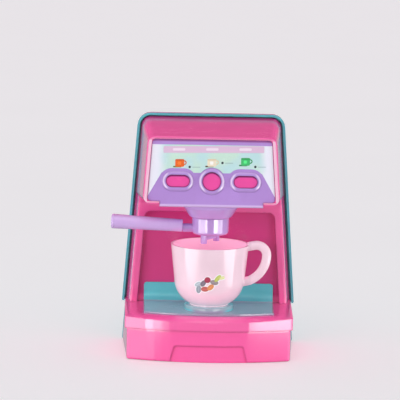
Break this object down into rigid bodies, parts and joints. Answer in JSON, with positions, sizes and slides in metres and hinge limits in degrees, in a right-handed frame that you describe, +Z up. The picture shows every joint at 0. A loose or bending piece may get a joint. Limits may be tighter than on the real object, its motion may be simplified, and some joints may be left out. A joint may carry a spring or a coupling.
{
  "type": "toy coffee maker",
  "caption": "Toy espresso machine with a C-shaped housing, press buttons on a tilted panel, a twist-in filter holder with side handle, a pull-out drip tray and a loose cup.",
  "frame": {"origin": "on the surface the machine stands on, midway between its sides and 50 mm in front of its back", "axes": "+X to the right seen from the front, +Y to the back, +Z up"},
  "size_m": [0.1794, 0.1059, 0.2265],
  "materials": {
    "pink_plastic": "gloss",
    "teal_plastic": "gloss",
    "lavender_plastic": "gloss",
    "button_plastic": "satin",
    "label_film": "printed film",
    "guide_plastic": "matte",
    "cup_plastic": "gloss",
    "motif_print": "printed film",
    "screw_steel": "satin",
    "spring_steel": "satin"
  },
  "bodies": {
    "machine": {"front_housing": "pink_plastic", "rear_cover": "teal_plastic", "cover_screws": "screw_steel", "control_panel": "lavender_plastic", "panel_label": "label_film", "panel_screws": "screw_steel", "spring_left": "spring_steel", "spring_middle": "spring_steel", "spring_right": "spring_steel", "button_guide": "guide_plastic", "guide_screws": "screw_steel", "group_head": "lavender_plastic", "group_screws": "screw_steel"},
    "left_button": {"button_left": "button_plastic"},
    "middle_button": {"button_middle": "button_plastic"},
    "right_button": {"button_right": "button_plastic"},
    "filter": {"filter_bowl": "lavender_plastic", "twin_spout": "lavender_plastic", "filter_handle": "lavender_plastic"},
    "tray": {"drip_tray": "teal_plastic"},
    "loose_cup": {"cup": "cup_plastic", "cup_motif": "motif_print"}
  },
  "joints": [
    {"name": "left_button_press", "type": "slide", "parent": "machine", "child": "left_button", "axis": [0, 0.989, -0.1478], "range_m": [0, 0.002], "stiffness_N_per_m": 200, "springref_m": -0.001, "deforming": ["spring_left"]},
    {"name": "middle_button_press", "type": "slide", "parent": "machine", "child": "middle_button", "axis": [0, 0.989, -0.1478], "range_m": [0, 0.002], "stiffness_N_per_m": 200, "springref_m": -0.001, "deforming": ["spring_middle"]},
    {"name": "right_button_press", "type": "slide", "parent": "machine", "child": "right_button", "axis": [0, 0.989, -0.1478], "range_m": [0, 0.002], "stiffness_N_per_m": 200, "springref_m": -0.001, "deforming": ["spring_right"]},
    {"name": "filter_twist", "type": "hinge", "parent": "machine", "child": "filter", "pos_m": [0, -0.015, 0.1339], "axis": [0, 0, 1], "range_deg": [0, 90]},
    {"name": "tray_slide", "type": "slide", "parent": "machine", "child": "tray", "axis": [0, -1, 0], "range_m": [0, 0.09]},
    {"name": "cup_slide", "type": "slide", "parent": "tray", "child": "loose_cup", "axis": [0, -1, 0], "range_m": [0, 0.09]}
  ]
}
